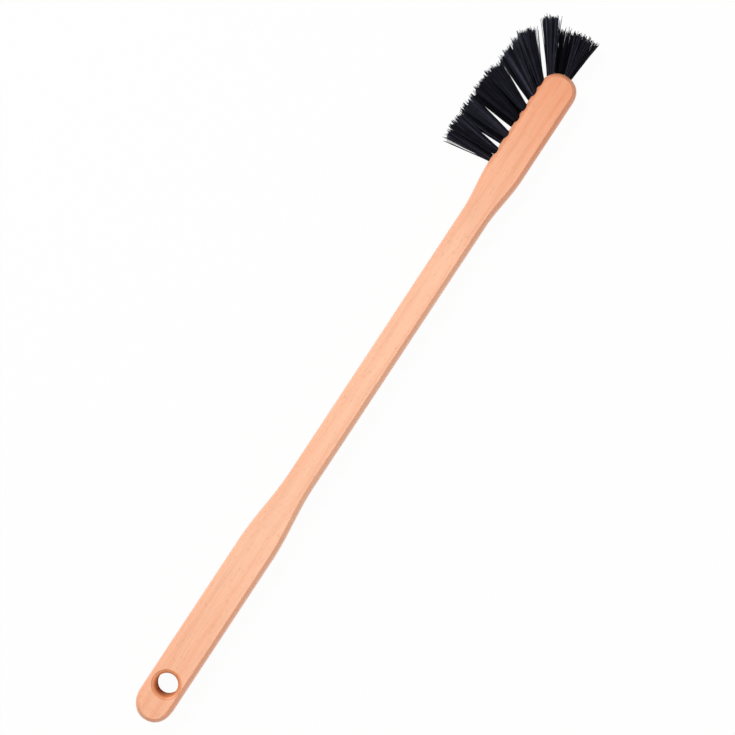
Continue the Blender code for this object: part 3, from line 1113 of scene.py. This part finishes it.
def trimmed_reach(build, root, heading, reach):
    """The reach cut to unequal ends, in teeth that run on from tuft to tuft."""
    start = build.split(root)
    ahead_x = build.math("MULTIPLY_ADD", reach, build.math("COSINE", heading), start["X"])
    ahead_y = build.math("MULTIPLY_ADD", reach, build.math("SINE", heading), start["Y"])
    round_edge = build.math("DIVIDE", build.math("SUBTRACT", ahead_x, ahead_y), TOOTH_WIDTH)
    teeth = build.output(
        "ShaderNodeTexNoise",
        {"W": round_edge, "Scale": 1.0, "Detail": 3.0, "Roughness": 0.7},
        noise_dimensions="1D",
    )
    tooth = build.ramp(teeth, *TOOTH_EDGE)
    unequal = build.math("MULTIPLY_ADD", build.chance(0.0, 1.0, 14), UNEVEN_SHARE, tooth)
    cut_off = build.math("MULTIPLY", build.given["Ragged"], unequal)
    share = build.math("SUBTRACT", UNCUT_SHARE, cut_off)
    standing_out = build.ramp(build.chance(0.0, 1.0, 20), *STANDING_OUT)
    share = build.math("MINIMUM", build.math("ADD", share, standing_out), LONGEST_SHARE)
    return build.math("MULTIPLY", reach, share)


def strand_course(build, across, up):
    """Each strand's root at the hole's mouth, the middle of its bend, its end and its tone, in which
    paler locks are painted sheen.
    """
    given = build.given
    end_across, end_up, lock_draw = locked_ends(build, across, up)
    half_splay = build.math("MULTIPLY", given["Splay"], 0.5)
    low_share = build.math("MULTIPLY_ADD", end_across, half_splay, 0.5, clamp=True)
    heading = fanned_heading(build, low_share)
    root = build.frame_point(
        build.math("MULTIPLY", across, given["Root radius"]),
        build.math("MULTIPLY", up, given["Root radius"]),
        0.0,
    )
    full_reach = build.mix(low_share, given["Reach high"], given["Reach low"])
    reach = trimmed_reach(build, root, heading, full_reach)
    flat_run = build.combine(
        build.math("MULTIPLY", reach, build.math("COSINE", heading)),
        build.math("MULTIPLY", reach, build.math("SINE", heading)),
        0.0,
    )
    flat_end = build.split(build.vector("ADD", root, flat_run))
    rise_share = build.math("MULTIPLY_ADD", end_up, 0.5, 0.5)
    end_depth = build.mix(rise_share, given["Depth low"], given["Depth high"])
    end = build.combine(flat_end["X"], flat_end["Y"], end_depth)

    # The middle of the bend lies between the straight line and the way the hole points
    halfway = build.scaled(build.vector("ADD", root, end), 0.5)
    straight_run = build.scaled(given["Out"], build.math("MULTIPLY", reach, 0.5))
    ahead = build.vector("ADD", root, straight_run)
    bend = build.mix_vector(given["Stiffness"], halfway, ahead)
    stray = build.combine(
        build.chance(-BEND_SCATTER, BEND_SCATTER, 15),
        build.chance(-BEND_SCATTER, BEND_SCATTER, 16),
        build.chance(-BEND_SCATTER, BEND_SCATTER, 17),
    )
    bend = build.vector("ADD", bend, stray)

    # Paler locks are painted sheen and darker ones painted shade, on top of the strands' own tone
    drawn = build.mix(OWN_TONE_SHARE, lock_draw, build.chance(0.0, 1.0, 18))
    tone = build.math("MULTIPLY", drawn, build.ramp(given["Greyed"], *TONE_AND_PAINTED_LIGHT))
    return root, bend, end, tone


def outside_place(build, free):
    """A place on the strand outside: a curve from the mouth over the bend to the end."""
    root = build.read("strand_root", "FLOAT_VECTOR")
    bend = build.read("strand_bend", "FLOAT_VECTOR")
    end = build.read("strand_end", "FLOAT_VECTOR")
    first = build.mix_vector(free, root, bend)
    second = build.mix_vector(free, bend, end)
    return build.mix_vector(free, first, second)


def inside_place(build, step):
    """A place on the strand in the hole: down beside the anchor and round under it."""
    given = build.given
    inner = build.math("DIVIDE", step, float(HOLE_STEPS), clamp=True)
    across = build.math("MULTIPLY", build.read("strand_across", "FLOAT"), given["Root radius"])
    room = build.math("MULTIPLY", build.math("SIGN", across), given["Anchor room"])
    beside = build.math("MULTIPLY_ADD", across, FOLD_PACKING, room)
    parted = build.math("MULTIPLY", build.math("SQRT", inner), FOLD_PARTING, clamp=True)
    inner_across = build.math("MULTIPLY", beside, parted)
    inner_up = build.math("MULTIPLY", build.read("strand_up", "FLOAT"), given["Root radius"])
    sunk = build.math("SUBTRACT", build.math("MULTIPLY", inner, inner), 1.0)
    inner_out = build.math("MULTIPLY", sunk, given["Fold depth"])
    return build.frame_point(inner_across, inner_up, inner_out)


def tuft_tree():
    """Strands folded round the anchor, packed in the hole and fanned out of its mouth."""
    outputs = (("Geometry", "NodeSocketGeometry"),)
    tree, source, target = new_group("Folded tuft", "GeometryNodeTree", TUFT_SOCKETS, outputs)
    given = source.outputs
    build = TuftBuilder(tree, given)

    # One point for each strand, which keeps the strand's course
    across, up = packed_places(build)
    root, bend, end, tone = strand_course(build, across, up)
    kept = (
        ("strand_root", "FLOAT_VECTOR", root),
        ("strand_bend", "FLOAT_VECTOR", bend),
        ("strand_end", "FLOAT_VECTOR", end),
        ("strand_across", "FLOAT", across),
        ("strand_up", "FLOAT", up),
        ("strand_tone", "FLOAT", tone),
    )
    points = build.output("GeometryNodePoints", {"Count": given["Strands"]})
    for name, kind, value in kept:
        points = build.store(points, name, kind, value)

    # A line of even steps stands on each point, and is laid along its strand's course
    line = build.output("GeometryNodeCurvePrimitiveLine")
    count = HOLE_STEPS + FREE_STEPS + 1
    steps = build.output("GeometryNodeResampleCurve", {"Curve": line, "Count": count})
    strands = build.output("GeometryNodeInstanceOnPoints", {"Points": points, "Instance": steps})
    curves = build.output("GeometryNodeRealizeInstances", {"Geometry": strands})
    step = build.add("GeometryNodeSplineParameter").outputs["Index"]
    past_mouth = build.math("SUBTRACT", step, float(HOLE_STEPS))
    free = build.math("DIVIDE", past_mouth, float(FREE_STEPS), clamp=True)
    in_hole = build.math("LESS_THAN", step, HOLE_STEPS - 0.5)
    place = build.mix_vector(in_hole, outside_place(build, free), inside_place(build, step))
    laid = build.output("GeometryNodeSetPosition", {"Geometry": curves, "Position": place})
    marked = build.store(laid, "strand_place", "FLOAT", free)

    # Every strand gets its thin skin, which tapers towards the end
    thinned = build.mix(build.math("POWER", free, 2.0), 1.0, given["End share"])
    radius = build.math("MULTIPLY", given["Strand radius"], thinned)
    sides = {"Resolution": STRAND_SIDES, "Radius": 1.0}
    ring = build.output("GeometryNodeCurvePrimitiveCircle", sides)
    skin = {"Curve": marked, "Profile Curve": ring, "Scale": radius, "Fill Caps": True}
    solid = build.output("GeometryNodeCurveToMesh", skin)
    smooth = build.output("GeometryNodeSetShadeSmooth", {0: solid})
    whole = build.output("GeometryNodeRealizeInstances", {"Geometry": smooth})
    inputs = {"Geometry": whole, "Material": given["Material"]}
    build.put(target.inputs["Geometry"], build.output("GeometryNodeSetMaterial", inputs))
    return tree


def grow_tuft(tree, site, number, settings, material):
    """One tuft's strands as a plain mesh, made by the tree with this hole's values."""
    rotation = drilling_matrix(site).to_3x3()
    strand_radius = settings.width / 2
    values = {
        "Strands": settings.strands,
        "Seed": number + settings.draw,
        "Mouth": site.mouth,
        "Low side": rotation.col[0],
        "Up": rotation.col[1],
        "Out": rotation.col[2],
        "Root radius": TUFT_HOLE_RADIUS - strand_radius,
        "Strand radius": strand_radius,
        "Fan low": math.radians(site.fan_low),
        "Fan high": math.radians(site.fan_high),
        "Loose low": math.radians(site.loose_low),
        "Loose high": math.radians(site.loose_high),
        "Reach low": site.reach_low,
        "Reach high": site.reach_high,
        "Depth low": site.z_low,
        "Depth high": site.z_high,
        "Ragged": settings.ragged,
        "Clumping": settings.clumping,
        "Greyed": site.greyed,
        "Fold depth": TUFT_HOLE_DEPTH - FIT_GAP,
        "Anchor room": ANCHOR_THICKNESS / 2 + strand_radius + FIT_GAP / 4,
        "Material": material,
    }
    seed = add_object(f"{site.name}_seed", bpy.data.meshes.new("seed"))
    modifier = seed.modifiers.new("Folded tuft", "NODES")
    modifier.node_group = tree
    for socket in tree.interface.items_tree:
        if socket.item_type == "SOCKET" and socket.in_out == "INPUT" and socket.name in values:
            value = values[socket.name]
            modifier[socket.identifier] = tuple(value) if isinstance(value, Vector) else value
    mesh = plain_mesh(seed, f"{site.name}_bristles")
    remove_object(seed)
    return add_object(f"{site.name}_bristles", mesh)


class BRUSH_OT_tufts(bpy.types.Operator):
    """Grow the fifteen folded tufts out of their holes"""

    bl_idname = "bottle_brush.tufts"
    bl_label = "Bristle tufts"

    def execute(self, context):
        settings = context.scene.bottle_brush.tufts
        material = bristle_material(settings)
        tree = tuft_tree()
        for number, site in enumerate(tuft_sites(settings.length), 1):
            tuft = grow_tuft(tree, site, number, settings, material)
            if not tuft.data.polygons:
                raise RuntimeError(f"the tuft of {site.name} has no bristles")
            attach(tuft, "root")
            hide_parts(f"{site.name}_tuft")
        return {"FINISHED"}


class BRUSH_OT_anchors(bpy.types.Operator):
    """Finish the wire anchors inside the holes"""

    bl_idname = "bottle_brush.anchors"
    bl_label = "Wire anchors"

    def execute(self, context):
        material = wire_material()
        for name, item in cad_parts.items():
            if name.endswith("_anchor"):
                for slot in item.material_slots:
                    slot.material = material
        return {"FINISHED"}


# Stage
WHITE = (1.0, 1.0, 1.0, 1.0)
FLOOR_RADIUS = 4.0
FLOOR_SIDES = 96
FLOOR_DROP = 0.0002
FLOOR_WHITE_SHARE = 0.965
CLIP_START = 0.01

# Each lamp's place, width and the setting that holds its power
LAMPS = (
    ("key lamp", (0.22, 0.86, 1.30), 0.7, "key_power"),
    ("rim lamp", (0.05, 1.30, 0.30), 0.9, "rim_power"),
    ("fill lamp", (-0.25, -0.95, 0.60), 0.8, "fill_power"),
)


def seen_as_background(build):
    """1 for the rays that show a surface as the background, and 0 for those that light by it."""
    path = build.add("ShaderNodeLightPath").outputs
    seen = build.math("MAXIMUM", path["Is Camera Ray"], path["Is Glossy Ray"])
    return build.math("MAXIMUM", seen, path["Is Transmission Ray"])


def floor_material(settings):
    """A pale floor that keeps the shadow, and looks white as a background."""
    material, build, shader, place = new_material("studio floor")
    factor, _height = drift(build, place, cells=3.0, strength=0.02)
    build.fill(shader, {
        "Base Color": build.toned(opaque(settings.floor_colour), factor),
        "Roughness": 0.8,
        "Specular IOR Level": 0.1,
    })
    white = build.output("ShaderNodeEmission", {"Color": WHITE, "Strength": 1.0})
    share = build.math("MULTIPLY", seen_as_background(build), FLOOR_WHITE_SHARE)
    mixed = build.output("ShaderNodeMixShader", {0: share, 1: shader.outputs[0], 2: white})
    build.put(material.node_tree.nodes["Material Output"].inputs["Surface"], mixed)
    return material


def surround(settings):
    """Even light from all round, which looks white as a background."""
    world = bpy.data.worlds.new("surround")
    world.use_nodes = True
    build = NodeBuilder(world.node_tree)
    strength = build.mix(seen_as_background(build), settings.sky, 1.0)
    background = world.node_tree.nodes["Background"]
    build.fill(background, {"Color": WHITE, "Strength": strength})
    return world


def add_lamp(name, place, width, power):
    """A round lamp that faces the middle of the brush."""
    data = bpy.data.lights.new(name, "AREA")
    data.shape = "DISK"
    data.size = width
    data.energy = power
    lamp = add_object(name, data)
    lamp.location = place
    lamp.rotation_euler = Vector(place).to_track_quat("Z", "Y").to_euler()
    lamp.visible_camera = False


def add_camera(settings):
    """The view straight down on the front face, a little round the plain side."""
    target = Vector((*VIEW_CENTRE, THICKNESS))
    right = Vector((*VIEW_RIGHT, 0)).normalized()
    roll = settings.camera_roll
    towards = Vector((0, -math.sin(roll), math.cos(roll)))
    right = (right - towards * right.dot(towards)).normalized()
    up = towards.cross(right)
    rotation = Matrix((right, up, towards)).transposed().to_4x4()
    data = bpy.data.cameras.new("camera")
    data.sensor_width = SENSOR_WIDTH
    data.lens = SENSOR_WIDTH * settings.camera_height / VIEW_WIDTH
    data.clip_start = CLIP_START
    camera = add_object("camera", data)
    camera.matrix_world = Matrix.Translation(target + towards * settings.camera_height) @ rotation
    bpy.context.scene.camera = camera


class BRUSH_OT_stage(bpy.types.Operator):
    """Lay the floor and set the lamps, the surround and the camera"""

    bl_idname = "bottle_brush.stage"
    bl_label = "Studio stage"

    def execute(self, context):
        settings = context.scene.bottle_brush.stage
        bm = bmesh.new()
        bmesh.ops.create_circle(bm, cap_ends=True, radius=FLOOR_RADIUS, segments=FLOOR_SIDES)
        floor = add_object("floor", mesh_of(bm, "floor"))
        floor.location.z = -FLOOR_DROP
        floor.data.materials.append(floor_material(settings))
        for name, place, width, power in LAMPS:
            add_lamp(name, place, width, getattr(settings, power))
        context.scene.world = surround(settings)
        context.scene.view_settings.view_transform = "Standard"
        add_camera(settings)
        return {"FINISHED"}


class BRUSH_PT_panel(bpy.types.Panel):
    """Settings and steps of the bottle brush"""

    bl_idname = "BRUSH_PT_panel"
    bl_label = "Bottle brush"
    bl_space_type = "VIEW_3D"
    bl_region_type = "UI"
    bl_category = "Bottle brush"

    def draw(self, context):
        settings = context.scene.bottle_brush
        sections = (
            (settings.handle, (BRUSH_OT_handle,)),
            (settings.tufts, (BRUSH_OT_tufts, BRUSH_OT_anchors)),
            (settings.stage, (BRUSH_OT_stage,)),
        )
        for group, operators in sections:
            box = self.layout.box()
            for name in group.bl_rna.properties.keys():
                if name not in {"rna_type", "name"}:
                    box.prop(group, name)
            for operator in operators:
                box.operator(operator.bl_idname)


CLASSES = (
    HandleSettings,
    TuftSettings,
    StageSettings,
    BrushSettings,
    BRUSH_OT_handle,
    BRUSH_OT_tufts,
    BRUSH_OT_anchors,
    BRUSH_OT_stage,
    BRUSH_PT_panel,
)


def register():
    for item in CLASSES:
        bpy.utils.register_class(item)
    bpy.types.Scene.bottle_brush = PointerProperty(type=BrushSettings)


def unregister():
    del bpy.types.Scene.bottle_brush
    for item in reversed(CLASSES):
        bpy.utils.unregister_class(item)


def main():
    register()
    bpy.ops.bottle_brush.stage()
    bpy.ops.bottle_brush.handle()
    bpy.ops.bottle_brush.tufts()
    bpy.ops.bottle_brush.anchors()


if __name__ == "__main__":
    main()
